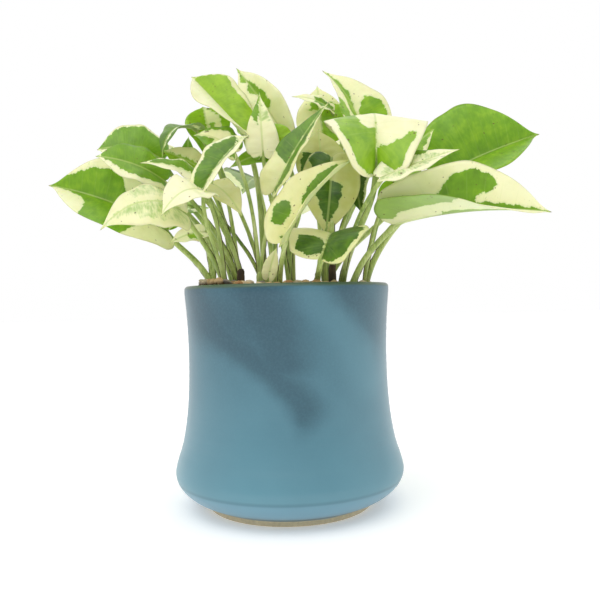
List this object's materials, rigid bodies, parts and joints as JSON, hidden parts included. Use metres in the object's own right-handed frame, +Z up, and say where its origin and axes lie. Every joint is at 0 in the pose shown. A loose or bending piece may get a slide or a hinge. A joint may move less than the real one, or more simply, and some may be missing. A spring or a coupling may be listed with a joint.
{
  "type": "potted marble queen pothos",
  "caption": "Waisted glazed pot filled with soil and pebbles, holding a dense clump of cream and green heart-shaped leaves on arching stalks; stands on its flat base.",
  "frame": {"origin": "middle of the pot's flat base, on the surface it stands on", "axes": "+Z up along the pot's axis, -Y towards the viewer of the picture, +X to the viewer's right"},
  "size_m": [0.2921, 0.204, 0.268],
  "materials": {
    "glaze": "satin",
    "soil": "matte",
    "pebbles": "matte",
    "leaves": "satin"
  },
  "bodies": {
    "root": {"pot": "glaze", "soil": "soil", "pebble_bed": "pebbles", "shoot_left_low": "leaves", "shoot_left_front": "leaves", "shoot_left_inner": "leaves", "shoot_left_upper": "leaves", "shoot_centre_front": "leaves", "shoot_centre_inner": "leaves", "shoot_centre_low": "leaves", "shoot_right_inner": "leaves", "shoot_right_front": "leaves", "shoot_right_low": "leaves", "shoot_left_back": "leaves", "shoot_upper_left": "leaves", "shoot_upper_middle": "leaves", "shoot_upper_right": "leaves", "shoot_right_outer": "leaves", "shoot_back_left": "leaves", "shoot_back_middle": "leaves", "shoot_back_right": "leaves"}
  },
  "joints": []
}
